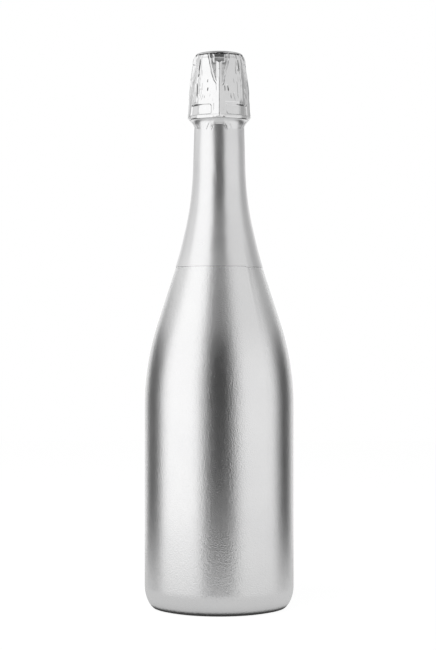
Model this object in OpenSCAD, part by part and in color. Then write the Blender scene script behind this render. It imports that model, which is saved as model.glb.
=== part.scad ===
/* [Glass] */
// Diameter of the glass body
body_d = 87.2; // [80:0.1:96]
// Height at which the straight body turns into the shoulder
body_h = 118.5; // [100:0.5:140]
// Radius of the outward curve at the top of the body
shoulder_r = 161; // [130:1:190]
// Steepest lean of the shoulder from upright, in degrees
shoulder_lean = 17.9; // [16:0.1:21]
// Radius of the inward curve from shoulder to neck
sweep_r = 220; // [180:1:250]
// Lean of the neck from upright, in degrees
neck_lean = 1.7; // [1:0.1:2.5]
// Diameter of the neck just under the collar
neck_d = 28.4; // [27:0.1:30]
// Length of the neck from the end of the shoulder to the collar
neck_h = 28; // [18:0.1:36]
// Width of the rounded heel
heel_w = 7.4; // [5:0.1:10]
// Height of the rounded heel
heel_h = 13.6; // [9:0.1:17]
// Width of the flat ring that the bottle stands on
foot_w = 2.2; // [1.5:0.1:4]
// Depth of the punt
punt_h = 31; // [20:0.5:38]
// Thickness of the glass under the wine
floor_t = 9; // [6:0.1:11]
// Thickness of the glass wall
wall_t = 5; // [3:0.1:5.2]

/* [Mouth] */
// Diameter of the mouth's bore
bore_d = 18; // [17.5:0.1:18.5]
// Length of the even bore below the lip
bore_h = 30; // [28:0.5:36]
// Diameter of the collar that holds the wire
collar_d = 33; // [32.4:0.1:34]
// Height of the collar
collar_h = 2.8; // [2.6:0.1:3.4]
// Diameter of the waist between collar and lip
waist_d = 26.6; // [25:0.1:27.6]
// Height of the waist
waist_h = 5.5; // [4.5:0.1:7]
// Diameter of the lip's rim
rim_d = 28.6; // [28:0.1:29.2]
// Height of the lip's rim
rim_h = 7.2; // [6:0.1:8.5]

/* [Cork] */
// Length of the cork below the lip
cork_in = 24; // [22:0.5:26]
// Height of the cork's head above the lip
head_h = 21.3; // [19:0.1:24]
// Largest diameter of the cork's head
head_d = 30.4; // [29:0.1:31]
// Diameter of the head just under its top edge
head_top_d = 26.8; // [25:0.1:27.2]
// Thickness of each disc of natural cork
disc_t = 5; // [4:0.1:6]

/* [Cap and wire] */
// Diameter of the metal cap
plaque_d = 26.4; // [26:0.1:27]
// Thickness of the cap's sheet
plaque_t = 0.3; // [0.2:0.05:0.4]
// Height of the cap's turned rim
plaque_rim = 2.4; // [1.6:0.1:3]
// Diameter of the cage's wire
wire_d = 0.62; // [0.5:0.01:0.66]
// Diameter of the belt's wire
belt_d = 0.9; // [0.7:0.02:0.94]
// Gap between two twisted strands
strand_gap = 0.53; // [0.52:0.01:0.56]
// Diameter of the cage's top ring
ring_d = 24; // [22:0.1:24.4]
// Whole turns of twist in each leg
leg_turns = 6; // [4:1:7]

/* [Film and foil] */
// Thickness of the film on the body
film_t = 0.3; // [0.2:0.05:0.4]
// Height of the film's upper edge, under the neck foil
film_top = 216; // [210:1:225]
// Thickness of the foil
foil_t = 0.3; // [0.2:0.02:0.36]
// Height of the neck foil's lower edge
foil_low = 201; // [190:1:206]
// Height of the tear strip
strip_h = 1.9; // [1.5:0.1:2.4]
// Width of the tear strip's tab
tab_w = 4; // [3:0.1:6]
// Length of the tear strip's tab
tab_h = 6; // [4:0.1:8]
// Diameter of the disc on top of the hood
top_disc_d = 24.8; // [23:0.1:25.2]
// Rise of the domed disc
top_disc_rise = 1.2; // [0.8:0.1:1.8]

/* [Hidden] */
$fn = 96;

// Clearances
film_gap = 0.1;
foil_gap = 0.1;
cork_gap = 0.05;
seat_gap = 0.3;
wire_gap = 0.1;
hood_gap = 0.15;
tear_gap = 0.15;

// Steps in each drawn curve
arc_steps = 8;
heel_steps = 7;
punt_steps = 10;

// Corners and slopes of the glass
collar_round = 1.2;
rim_round = 2.4;
mouth_round = 0.9;
edge_cut = 0.4;
waist_slope = 1.2;
rim_slope = 0.8;
rim_cut = 0.5;

// Radii
body_r = body_d / 2;
bore_r = bore_d / 2;
neck_r = neck_d / 2;
collar_r = collar_d / 2;
waist_r = waist_d / 2;
rim_r = rim_d / 2;
head_r = head_d / 2;
head_top_r = head_top_d / 2;
plaque_r = plaque_d / 2;
ring_r = ring_d / 2;
wire_r = wire_d / 2;
belt_r = belt_d / 2;

// Shoulder: an outward arc, a straight cone and an inward arc, each tangent to the next
arc_z = body_h + shoulder_r * sin(shoulder_lean);
arc_r = body_r - shoulder_r * (1 - cos(shoulder_lean));
collar_low_r = neck_r + neck_h * tan(neck_lean);
cone_drop = arc_r - collar_low_r - sweep_r * (cos(neck_lean) - cos(shoulder_lean));
cone_z = arc_z + cone_drop / tan(shoulder_lean);
cone_r = arc_r - cone_drop;
sweep_x = cone_r + sweep_r * cos(shoulder_lean);
sweep_z = cone_z + sweep_r * sin(shoulder_lean);
neck_z = sweep_z - sweep_r * sin(neck_lean);

// Heights of the mouth
collar_z = neck_z + neck_h;
waist_z = collar_z + collar_h;
rim_z = waist_z + waist_h;
lip_z = rim_z + rim_h;
cork_low = lip_z - cork_in;
cork_top = lip_z + head_h;
bulge_z = lip_z + head_h * 0.2;
taper_z = lip_z + head_h * 0.78;
bulge_ease = [2.5, -0.15];
taper_ease = [-3, 0.35];

// Outline of the head between its widest place and its top edge, as height and radius
head_line = [
    [bulge_z, head_r],
    [bulge_z, head_r] + bulge_ease,
    [taper_z, head_top_r] + taper_ease,
    [taper_z, head_top_r]];

// Radius of the glass at height z, from the body to the collar
function glass_r(z) =
    z < body_h ? body_r
    : z < arc_z ? body_r - shoulder_r + sqrt(pow(shoulder_r, 2) - pow(z - body_h, 2))
    : z < cone_z ? arc_r - (z - arc_z) * tan(shoulder_lean)
    : z < neck_z ? sweep_x - sqrt(pow(sweep_r, 2) - pow(sweep_z - z, 2))
    : neck_r + (collar_z - z) * tan(neck_lean);

// Heights at which the glass is drawn, so that film and foil follow the same facets
levels = concat(
    [for (i = [0:arc_steps]) body_h + (arc_z - body_h) * i / arc_steps],
    [for (i = [0:arc_steps]) cone_z + (neck_z - cone_z) * i / arc_steps]);

// Outline of the glass grown by d, between heights a and b
function skin(d, a, b) = concat(
    [[glass_r(a) + d, a]],
    [for (z = levels) if (z > a + 0.5 && z < b - 0.5) [glass_r(z) + d, z]],
    [[glass_r(b) + d, b]]);

// Point of the heel's ellipse at angle a below level, grown by d
function heel(a, d) =
    let (across = cos(a) / heel_w, down = sin(a) / heel_h, size = norm([across, down]))
    [body_r - heel_w + heel_w * cos(a) + d * across / size, heel_h - heel_h * sin(a) - d * down / size];

// Points of an arc round centre c from angle a to angle b
function arc(c, r, a, b, n) = [for (i = [0:n]) c + r * [cos(a + (b - a) * i / n), sin(a + (b - a) * i / n)]];

// Points in reverse order
function back(p) = [for (i = [len(p) - 1:-1:0]) p[i]];

// Outer edge of the standing ring and start of the punt
foot_r = body_r - heel_w;
punt_r = foot_r - foot_w;

// Hollow of the bottle
hollow_r = body_r - wall_t;
hollow_heel = 8;
hollow_low = heel_h + floor_t;
hollow_foot_r = hollow_r - hollow_heel;
hollow_foot_z = floor_t + 1.5;
hollow_punt_h = punt_h - 2;
throat_z = lip_z - bore_h;
throat_taper = 14;
hollow_neck_z = min(neck_z, throat_z - throat_taper);

module glass_bottle() {
    outside = concat(
        [for (i = [heel_steps:-1:0]) heel(90 * i / heel_steps, 0)],
        [for (z = levels) [glass_r(z), z]],
        [[neck_r, collar_z - edge_cut], [neck_r + edge_cut, collar_z]],
        arc([collar_r - collar_round, collar_z + collar_round], collar_round, -90, 0, 4),
        arc([collar_r - collar_round, waist_z - collar_round], collar_round, 0, 70, 3),
        [[waist_r, waist_z + waist_slope], [waist_r, rim_z - edge_cut],
            [rim_r - rim_cut, rim_z], [rim_r, rim_z + rim_slope]],
        arc([rim_r - rim_round, lip_z - rim_round], rim_round, 0, 90, 5),
        arc([bore_r + mouth_round, lip_z - mouth_round], mouth_round, 90, 180, 3));
    inside = concat(
        [[bore_r, throat_z]],
        [for (i = [arc_steps:-1:0]) let (z = cone_z + (hollow_neck_z - cone_z) * i / arc_steps)
            [glass_r(z) - wall_t, z]],
        [for (i = [arc_steps:-1:0]) let (z = body_h + (arc_z - body_h) * i / arc_steps)
            [glass_r(z) - wall_t, z]],
        [for (i = [0:heel_steps]) let (a = 90 * i / heel_steps)
            [hollow_foot_r + hollow_heel * cos(a), hollow_low - (hollow_low - hollow_foot_z) * sin(a)]],
        [for (i = [1:punt_steps]) let (t = i / punt_steps)
            [hollow_foot_r * (1 - t), hollow_foot_z + hollow_punt_h * (1 - cos(180 * t)) / 2]]);
    punt = [for (i = [0:punt_steps]) let (t = i / punt_steps) [punt_r * t, punt_h * (1 + cos(180 * t)) / 2]];
    color("#2f4a32") rotate_extrude() polygon(concat(outside, inside, punt));
}

// Film from the heel up under the neck foil
film_end = 68;
module body_sleeve() {
    low = [for (i = [heel_steps:-1:0]) film_end * i / heel_steps];
    outer = concat([for (a = low) heel(a, film_gap + film_t)], skin(film_gap + film_t, body_h, film_top));
    inner = concat([for (a = low) heel(a, film_gap)], skin(film_gap, body_h, film_top));
    color("#c4c6c8") rotate_extrude() polygon(concat(outer, back(inner)));
}

// Foil over the film's upper end, then close to the glass, then out over the wire under the collar
over_film = film_gap + film_t + foil_gap;
lap_end = film_top + 5;
flare_z = collar_z - 5;
strip_top = collar_z + 0.8;
strip_low = strip_top - strip_h;
foil_end = strip_low - tear_gap;
leg_r = wire_d + strand_gap / 2;
leg_off = leg_r + wire_gap;
flare_low_r = glass_r(flare_z) + foil_gap;
flare_top_r = collar_r + 2 * leg_r + 2 * wire_gap;

// Inside of the flared foil: heights below the strip's top and how far each lies inside its widest radius
flare_bend = [[2.05, 1.07], [1.4, 0.52], [0.7, 0.12]];
flare_line = concat(
    [[flare_z, flare_low_r]],
    [for (b = flare_bend) [strip_top - b[0], flare_top_r - b[1]]],
    [[strip_top, flare_top_r]]);
function flare_r(z) = lookup(z, flare_line);

// Points of the flare from height a to height b
function flare(a, b) = concat(
    [[flare_r(a), a]],
    [for (p = flare_line) if (p[0] > a + 0.05 && p[0] < b - 0.05) [p[1], p[0]]],
    [[flare_r(b), b]]);

// Sheet of foil with its inside along the points p
module foil_sheet(p) {
    rotate_extrude() polygon(concat([for (q = p) [q[0] + foil_t, q[1]]], back(p)));
}

module neck_foil() {
    color("#d2d4d6") foil_sheet(concat(
        skin(over_film, foil_low, film_top),
        skin(foil_gap, lap_end, flare_z - 0.5),
        flare(flare_z, foil_end)));
}

// Tear strip with its tab, which hangs on one side of the bottle, given as an angle from +X
tab_turn = 118;
tab_lap = 0.6;
tab_gap = 0.1;
tab_r = flare_r(foil_end) + foil_t + tab_gap;

module tear_strip() {
    color("#b9bbbe") {
        foil_sheet(flare(strip_low, strip_top));
        rotate([0, 0, tab_turn]) rotate_extrude(angle = tab_w / tab_r * 180 / PI)
            translate([tab_r, strip_low - tab_h]) square([foil_t, tab_h + tab_lap]);
    }
}

// Metal cap: raised middle, groove for the wire ring, turned rim
cap_z = cork_top + plaque_t;
cap_low = cap_z - plaque_rim;
cap_round = 0.8;
cap_rise = 0.9;
cap_slope = 1.4;
cap_crown = 0.8;
groove_in = ring_r - wire_r - 0.6;
groove_out = plaque_r - cap_round;

module plaque() {
    over = concat(
        [[0, cap_z + cap_rise], [groove_in - cap_slope, cap_z + cap_rise * cap_crown], [groove_in, cap_z]],
        arc([groove_out, cap_z - cap_round], cap_round, 90, 0, 4),
        [[plaque_r, cap_low]]);
    under = concat(
        [[plaque_r - plaque_t, cap_low]],
        arc([groove_out, cap_z - cap_round], cap_round - plaque_t, 0, 90, 4),
        [[groove_in, cork_top], [groove_in - cap_slope, cork_top + cap_rise * cap_crown],
            [0, cork_top + cap_rise]]);
    color("#c9cccf") rotate_extrude() polygon(concat(over, under));
}

// Wire cage. Points are given as radius, sideways and height, and turned to their leg
wire_z = cap_z + wire_gap + wire_r;
spread = (wire_d + strand_gap) / 2;
loop_r = belt_r + 0.07 + wire_r;
belt_z = collar_z - wire_gap - wire_r - loop_r;
belt_ring_r = neck_r + 2 * wire_gap + wire_r + loop_r;
twist_top = cap_low + 0.2;
twist_low = collar_z + collar_round;
corner = [collar_r - collar_round, collar_z + collar_round];
corner_r = collar_round + wire_gap + wire_r;
rings_a_turn = 8;
side_turns = leg_turns + 0.25;
twist_steps = round(rings_a_turn * side_turns);

// Distance of a leg's middle line from the bottle's axis at height z
function leg_line(z) = lookup(z, concat(
    [[twist_low, collar_r + leg_off], [waist_z, collar_r + leg_off]],
    [for (p = head_line) [p[0], p[1] + leg_off]],
    [[cap_low - 1, plaque_r + leg_off], [twist_top + 0.6, plaque_r + wire_gap + wire_r]]));

function turned(p, a) = [p[0] * cos(a) - p[1] * sin(a), p[0] * sin(a) + p[1] * cos(a), p[2]];

// One strand from the top ring down to the end of its twist, on side s of the leg
function strand(s) = concat(
    [[ring_r + 0.1, s * 1.1, wire_z]],
    [for (a = [78, 52, 26, 0])
        let (p = [groove_out, cap_z - cap_round] + (cap_round + wire_gap + wire_r) * [cos(a), sin(a)])
        [p[0], s * (spread + 0.2 * a / 78), p[1]]],
    [for (i = [0:twist_steps])
        let (z = twist_top + (twist_low - twist_top) * i / twist_steps,
            a = 360 * side_turns * i / twist_steps)
        [leg_line(z) - s * spread * sin(a), s * spread * cos(a), z]]);

// Loop round the belt, from the outer strand to the inner one
function leg_loop() = [for (p = concat(
    arc(corner, corner_r + 1.88 * spread, -16, -42, 1),
    arc([belt_ring_r, belt_z], loop_r, -45, -262, 8),
    arc(corner, corner_r, -70, -20, 2))) [p[0], 0, p[1]]];

// A quarter of the top ring, from one leg to the next
function ring_quarter() = [for (a = [9.5:7.1:81]) [ring_r * cos(a), ring_r * sin(a), wire_z]];

cage_path = [for (leg = [0:3]) each concat(
    [for (p = strand(-1)) turned(p, 90 * leg)],
    [for (p = leg_loop()) turned(p, 90 * leg)],
    [for (p = back(strand(1))) turned(p, 90 * leg)],
    [for (p = ring_quarter()) turned(p, 90 * leg)])];

// Belt under the collar, with its ends twisted and bent up into an eye between two legs
eye_turn = 135;
belt_spread = (belt_d + strand_gap) / 2;
tail_r = corner_r + belt_r - wire_r;
tail_line = corner[0] + tail_r;
eye_r = 2.1;
eye_low = waist_z + 5;
eye_z = eye_low + 1.3 * eye_r;
belt_angle = 12;
belt_steps = 42;

function tail(s) = concat(
    [[belt_ring_r + 0.12, s * 2, belt_z + 0.15]],
    [for (a = [-72, -48, -24, 0]) let (p = corner + tail_r * [cos(a), sin(a)])
        [p[0], s * (belt_spread + 0.45 * a / -72), p[1]]],
    [for (i = [0:rings_a_turn]) let (a = 360 * i / rings_a_turn)
        [tail_line - belt_spread * 0.2 + s * belt_spread * sin(a), s * belt_spread * cos(a),
            waist_z + (eye_low - waist_z) * i / rings_a_turn]]);

belt_path = concat(
    [for (p = tail(1)) turned(p, eye_turn)],
    [for (a = [-40:25:220]) turned([tail_line, eye_r * cos(a), eye_z + eye_r * sin(a)], eye_turn)],
    [for (p = back(tail(-1))) turned(p, eye_turn)],
    [for (i = [0:belt_steps])
        turned([belt_ring_r, 0, belt_z], eye_turn - belt_angle - (360 - 2 * belt_angle) * i / belt_steps)]);

// A closed tube of radius r along the points p: each ring keeps the turn of the last one
sides = 6;
function unit(v) = v / norm(v);
function at(p, i) = p[(i + len(p)) % len(p)];
function along(p, i) = unit(at(p, i + 1) - at(p, i - 1));
function flat(v, t) = unit(v - (v * t) * t);
function frames(p) = [for (i = 0, v = flat([0.3, 0.5, 0.8], along(p, 0)); i <= len(p);
    i = i + 1, v = flat(v, along(p, i))) v];

module closed_tube(p, r) {
    n = len(p);
    f = frames(p);
    t0 = along(p, 0);
    slip = atan2(cross(f[0], f[n]) * t0, f[0] * f[n]);
    points = [for (i = [0:n - 1]) for (k = [0:sides - 1])
        let (t = along(p, i), u = f[i], w = cross(t, u), a = 360 * k / sides - slip * i / n)
        p[i] + r * (cos(a) * u + sin(a) * w)];
    faces = [for (i = [0:n - 1]) for (k = [0:sides - 1])
        let (a = i * sides + k, b = i * sides + (k + 1) % sides,
            c = ((i + 1) % n) * sides + k, d = ((i + 1) % n) * sides + (k + 1) % sides)
        each [[a, d, b], [a, c, d]]];
    polyhedron(points, faces);
}

// Least gap of a tube to itself, leaving out points that follow each other along it
function least_gap(p, r, apart) = min([for (i = [0:len(p) - 1]) for (j = [i + apart:len(p) - 1])
    if (i + len(p) - j > apart) norm(p[i] - p[j])]) - 2 * r;

module cage_wire() {
    color("#8f9396") closed_tube(cage_path, wire_r);
}

module belt_wire() {
    color("#8f9396") closed_tube(belt_path, belt_r);
}

// Hood. Foil pressed in between the legs, stretched over each leg like a tent and loose over the head
tear_z = strip_top + tear_gap;
window_low = tear_z + 0.5;
window_top = rim_z - 1.2;
press_r = head_r + 0.3;
drape = 0.6;
top_z = wire_z + wire_r + hood_gap;
top_lap = 1.6;
top_hole_r = top_disc_d / 2 - top_lap;
over_leg = leg_r + hood_gap;
cap_in = cap_z - cap_round;
over_cap = plaque_r + wire_gap + wire_d + hood_gap;

// Rows from the tear line up: height, radius between the legs and over a leg, then the shares of the
// foil's thickness that go outward and upward, the share of the tent and the depth of the pleats
hood_rows = concat(
    [for (row = [
        [tear_z, flare_top_r, 0],
        [window_low, collar_r + 0.9, 0],
        [waist_z - 0.4, collar_r + 0.4, 0],
        [waist_z + 0.5, press_r + 0.2, 0],
        [window_top, press_r, 0],
        [window_top + 1, press_r + drape, 0.6],
        [lip_z - 1, press_r + drape + 0.2, 1],
        each [for (p = head_line) [p[0], p[1] + drape, 1]],
        [cap_low - 0.6, plaque_r + drape, 1]])
        [row[0], row[1], leg_line(row[0]) + over_leg, 1, 0, row[2], row[2]]],
    [[cap_in, plaque_r + drape, over_cap + 0.2, 0.95, 0.3, 0.8, 1.2],
        [cap_z + 0.2, plaque_r - 0.2, plaque_r + 0.6, 0.7, 0.7, 0.3, 1],
        [top_z, ring_r + 0.5, ring_r + 0.8, 0.2, 1, 0, 0.2],
        [top_z, top_hole_r, top_hole_r, 0, 1, 0, 0]]);

hood_steps = 96;
ridge = 15;
tent = 27;
pleat = 0.16;

// Angle between a and b, from 0 to 180
function apart(a, b) = abs(((a - b) % 360 + 540) % 360 - 180);

// How far the foil is lifted over the nearest leg at angle a, from 0 to 1, with a tent of share t
function lift(a, t) = let (d = min(a % 90, 90 - a % 90))
    max(d < ridge ? (1 + cos(180 * d / ridge)) / 2 : 0, t * (1 - d / tent));

// The same over the belt's eye, which reaches up to the lip
eye_wide = 9;
eye_end = 20;
eye_over = 3;
function eye_lift(a, z) = let (d = apart(a, eye_turn))
    z > eye_z + eye_r + eye_over ? 0
    : d < eye_wide ? 1
    : d < eye_end ? (1 + cos(180 * (d - eye_wide) / (eye_end - eye_wide))) / 2 : 0;

function hood_point(row, i, out) =
    let (a = 360 * i / hood_steps, h = hood_rows[row],
        bulge = max(lift(a, h[5]), eye_lift(a, h[0])),
        r = h[1] + (h[2] - h[1]) * bulge + pleat * h[6] * (i % 2) + out * foil_t * h[3])
    [r * cos(a), r * sin(a), h[0] + out * foil_t * h[4]];

module foil_hood() {
    rows = len(hood_rows);
    m = hood_steps;
    points = concat(
        [for (row = [0:rows - 1]) for (i = [0:m - 1]) hood_point(row, i, 1)],
        [for (row = [rows - 1:-1:0]) for (i = [0:m - 1]) hood_point(row, i, 0)]);
    faces = [for (row = [0:2 * rows - 1]) for (i = [0:m - 1])
        let (a = row * m + i, b = row * m + (i + 1) % m,
            c = ((row + 1) % (2 * rows)) * m + i, d = ((row + 1) % (2 * rows)) * m + (i + 1) % m)
        each [[a, d, b], [a, c, d]]];
    color("#dcdee0") polyhedron(points, faces);
}

disc_steps = 8;
module foil_top_disc() {
    low = top_z + foil_t;
    r = top_disc_d / 2;
    dome = [for (i = [0:disc_steps]) let (t = 1 - i / disc_steps)
        [r * t, low + foil_t + top_disc_rise * (1 - pow(t, 4))]];
    color("#d6d8da") rotate_extrude()
        polygon(concat([[r, low]], dome, [for (i = [disc_steps:-1:1]) dome[i] - [0, foil_t]]));
}

// Cork
shank_r = bore_r - cork_gap;
disc_z = cork_low + disc_t;
barrel_z = disc_z + disc_t;
head_edge_r = plaque_r - plaque_t - 0.1;
head_edge = 1.2;

module cork_barrel() {
    color("#c9a878") rotate_extrude() polygon(concat(
        [[0, barrel_z], [shank_r, barrel_z], [shank_r, lip_z + 0.1], [shank_r + 0.4, lip_z + seat_gap],
            [rim_r - 1.6, lip_z + seat_gap], [rim_r, lip_z + 0.9], [head_r - 0.3, bulge_z - 1.9]],
        [for (p = head_line) [p[1], p[0]]],
        [[head_edge_r, cap_low - 0.3]],
        arc([head_edge_r - head_edge, cork_top - head_edge], head_edge, 0, 90, 3),
        [[0, cork_top]]));
}

module cork_disc(z) {
    color("#b58a58") translate([0, 0, z]) cylinder(h = disc_t, r = shank_r);
}

module cork_disc_upper() {
    cork_disc(disc_z);
}

module cork_disc_lower() {
    cork_disc(cork_low);
}

echo("least gap of the cage's wire to itself", least_gap(cage_path, wire_r, 6));
echo("least gap of the belt's wire to itself", least_gap(belt_path, belt_r, 6));

glass_bottle();
body_sleeve();
neck_foil();
tear_strip();
foil_hood();
foil_top_disc();
plaque();
cage_wire();
belt_wire();
cork_barrel();
cork_disc_upper();
cork_disc_lower();
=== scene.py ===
import math
import bpy
import numpy as np
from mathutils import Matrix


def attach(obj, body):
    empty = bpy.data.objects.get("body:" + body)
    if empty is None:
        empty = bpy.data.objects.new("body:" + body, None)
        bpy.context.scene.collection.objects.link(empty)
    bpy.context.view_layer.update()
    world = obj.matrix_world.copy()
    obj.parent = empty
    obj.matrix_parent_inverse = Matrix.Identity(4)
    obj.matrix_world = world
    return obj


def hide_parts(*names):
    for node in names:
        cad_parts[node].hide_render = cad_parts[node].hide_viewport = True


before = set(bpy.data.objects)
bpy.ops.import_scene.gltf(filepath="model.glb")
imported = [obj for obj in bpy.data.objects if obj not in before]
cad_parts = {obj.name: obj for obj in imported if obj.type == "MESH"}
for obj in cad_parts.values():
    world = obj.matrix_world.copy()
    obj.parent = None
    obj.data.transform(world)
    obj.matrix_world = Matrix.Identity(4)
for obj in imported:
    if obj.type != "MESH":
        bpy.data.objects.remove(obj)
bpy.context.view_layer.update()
print("frame loaded")

mm = 0.001
photoHeight = 650  # pixels

# Outline of the glass in millimetres, as the frame has it
glass = {
    "bodyDiameter": 87.2,
    "bodyHeight": 118.5,
    "shoulderRadius": 161.0,
    "shoulderLean": 17.9,
    "sweepRadius": 220.0,
    "neckLean": 1.7,
    "neckDiameter": 28.4,
    "neckLength": 28.0,
    "heelWidth": 7.4,
    "heelHeight": 13.6,
}
bodyRadius = glass["bodyDiameter"] / 2
neckRadius = glass["neckDiameter"] / 2
leanShoulder = math.radians(glass["shoulderLean"])
leanNeck = math.radians(glass["neckLean"])
arcHeight = glass["bodyHeight"] + glass["shoulderRadius"] * math.sin(leanShoulder)
arcRadius = bodyRadius - glass["shoulderRadius"] * (1 - math.cos(leanShoulder))
coneDrop = (arcRadius - neckRadius - glass["neckLength"] * math.tan(leanNeck)
            - glass["sweepRadius"] * (math.cos(leanNeck) - math.cos(leanShoulder)))
coneHeight = arcHeight + coneDrop / math.tan(leanShoulder)
sweepX = arcRadius - coneDrop + glass["sweepRadius"] * math.cos(leanShoulder)
sweepZ = coneHeight + glass["sweepRadius"] * math.sin(leanShoulder)
neckHeight = sweepZ - glass["sweepRadius"] * math.sin(leanNeck)
collarHeight = neckHeight + glass["neckLength"]
frontTurn = -90.0  # the side that faces the camera, in degrees from +X
eyeTurn = 135.0  # the side where the belt's twisted eye lies
legCount = 4


def glassRadius(z):
    z = np.asarray(z, float)
    arc = bodyRadius - glass["shoulderRadius"] + np.sqrt(
        np.maximum(glass["shoulderRadius"] ** 2 - (z - glass["bodyHeight"]) ** 2, 0))
    cone = arcRadius - (z - arcHeight) * math.tan(leanShoulder)
    sweep = sweepX - np.sqrt(np.maximum(glass["sweepRadius"] ** 2 - (sweepZ - z) ** 2, 0))
    neck = neckRadius + (collarHeight - z) * math.tan(leanNeck)
    return np.select([z < glass["bodyHeight"], z < arcHeight, z < coneHeight, z < neckHeight],
                     [bodyRadius + 0 * z, arc, cone, sweep], neck)


def smooth(x, low, high):
    t = np.clip((x - low) / (high - low), 0, 1)
    return t * t * (3 - 2 * t)


def between(turn, centre):
    return (turn - centre + 180) % 360 - 180


# Length of a turn in degrees on a circle of this radius
def arcLength(turn, radius):
    return turn * math.pi / 180 * radius


# A smooth curve through points (x, y) that never swings past them
def throughPoints(x, points):
    points = np.asarray(points, float)
    px, py = points[:, 0], points[:, 1]
    step = np.diff(px)
    slope = np.diff(py) / step
    bend = np.zeros(len(px))
    same = slope[:-1] * slope[1:] > 0
    bend[1:-1][same] = 2 * (slope[:-1] * slope[1:])[same] / (slope[:-1] + slope[1:])[same]
    bend[0] = slope[0]
    bend[-1] = slope[-1]
    x = np.clip(x, px[0], px[-1])
    i = np.clip(np.searchsorted(px, x, side="right") - 1, 0, len(px) - 2)
    t = (x - px[i]) / step[i]
    return ((1 + 2 * t) * (1 - t) ** 2 * py[i] + t * (1 - t) ** 2 * step[i] * bend[i]
            + t * t * (3 - 2 * t) * py[i + 1] + t * t * (t - 1) * step[i] * bend[i + 1])


# Smooth random field from -1 to 1, with "around" cells round the bottle and one every "along" mm
def wander(turn, height, around, along, seed):
    grid = np.random.default_rng(seed).uniform(-1, 1, (int(400 / along) + 4, around))
    u = (turn / 360 % 1) * around
    v = height / along + 1
    i = np.floor(u).astype(int)
    j = np.floor(v).astype(int)
    fu = smooth(u - i, 0, 1)
    fv = smooth(v - j, 0, 1)
    low = grid[j, i % around] * (1 - fu) + grid[j, (i + 1) % around] * fu
    high = grid[j + 1, i % around] * (1 - fu) + grid[j + 1, (i + 1) % around] * fu
    return low * (1 - fv) + high * fv


# A sheet round the bottle: turns in degrees, radii and heights in mm, one row a ring.
# With a thickness it gets an inside and sharp edges above and below.
def roundSheet(name, turns, radii, heights, thickness=0.0):
    radii, heights, turns = np.broadcast_arrays(radii, heights, turns)
    rows, columns = radii.shape
    if thickness:
        radii = np.concatenate([radii, radii[::-1] - thickness])
        heights = np.concatenate([heights, heights[::-1]])
        turns = np.concatenate([turns, turns[::-1]])
    angle = np.radians(turns)
    points = np.stack([radii * np.cos(angle), radii * np.sin(angle), heights], -1)
    here = np.arange(points.shape[0] * columns).reshape(-1, columns)
    if thickness:
        here = np.concatenate([here, here[:1]])
    right = np.roll(here, -1, axis=1)
    faces = np.stack([here[:-1], right[:-1], right[1:], here[1:]], -1).reshape(-1, 4)
    mesh = bpy.data.meshes.new(name)
    mesh.from_pydata((points.reshape(-1, 3) * mm).tolist(), [], faces.tolist())
    mesh.shade_smooth()
    if thickness:
        ends = np.zeros(len(mesh.edges) * 2, int)
        mesh.edges.foreach_get("vertices", ends)
        ring = ends.reshape(-1, 2) // columns
        rims = [0, rows - 1, rows, 2 * rows - 1]
        crisp = (ring[:, 0] == ring[:, 1]) & np.isin(ring[:, 0], rims)
        sharp = mesh.attributes.new("sharp_edge", "BOOLEAN", "EDGE")
        sharp.data.foreach_set("value", crisp)
    return placed(name, mesh)


def placed(name, data):
    piece = bpy.data.objects.new(name, data)
    bpy.context.scene.collection.objects.link(piece)
    return piece


def columnsOf(count):
    return np.arange(count) * 360.0 / count


# Nodes: short helpers for the materials
def newMaterial(name):
    material = bpy.data.materials.new(name)
    material.use_nodes = True
    tree = material.node_tree
    tree.nodes.clear()
    return material, tree


def addNode(tree, kind, inputs=None, **settings):
    node = tree.nodes.new(kind)
    for key, value in settings.items():
        setattr(node, key, value)
    for key, value in (inputs or {}).items():
        if isinstance(value, bpy.types.NodeSocket):
            tree.links.new(value, node.inputs[key])
        else:
            node.inputs[key].default_value = value
    return node


# A ramp through grey levels or colours, as place from 0 to 1 and value
def ramp(tree, factor, stops):
    node = addNode(tree, "ShaderNodeValToRGB", {"Fac": factor})
    elements = node.color_ramp.elements
    while len(elements) < len(stops):
        elements.new(0.5)
    for element, (place, value) in zip(elements, stops):
        element.position = place
        element.color = (value, value, value, 1) if isinstance(value, (int, float)) else (*value, 1)
    return node.outputs["Color"]


def noise(tree, place, scale, detail, roughness=0.5):
    return addNode(tree, "ShaderNodeTexNoise", {
        "Vector": place, "Scale": scale, "Detail": detail, "Roughness": roughness}).outputs[0]


# Relief with its depth in mm, on top of another relief if one is given
def relief(tree, height, depth, under=None, **settings):
    inputs = {"Height": height, "Strength": 1.0, "Distance": depth * mm}
    if under is not None:
        inputs["Normal"] = under
    return addNode(tree, "ShaderNodeBump", inputs, **settings).outputs[0]


def calculate(tree, operation, *values):
    return addNode(tree, "ShaderNodeMath", dict(enumerate(values)), operation=operation).outputs[0]


def blend(tree, share, first, second, way="MIX"):
    return addNode(tree, "ShaderNodeMix", {"Factor": share, 6: first, 7: second}, data_type="RGBA",
                   blend_type=way).outputs[2]


def blendShaders(tree, share, first, second):
    return addNode(tree, "ShaderNodeMixShader", {0: share, 1: first.outputs[0], 2: second.outputs[0]})


def finish(tree, shader):
    addNode(tree, "ShaderNodeOutputMaterial", {"Surface": shader.outputs[0]})


def bareMetal(tree, colour, roughness, skin):
    return addNode(tree, "ShaderNodeBsdfPrincipled", {
        "Base Color": colour, "Metallic": 1.0, "Roughness": roughness, "Normal": skin})


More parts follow.
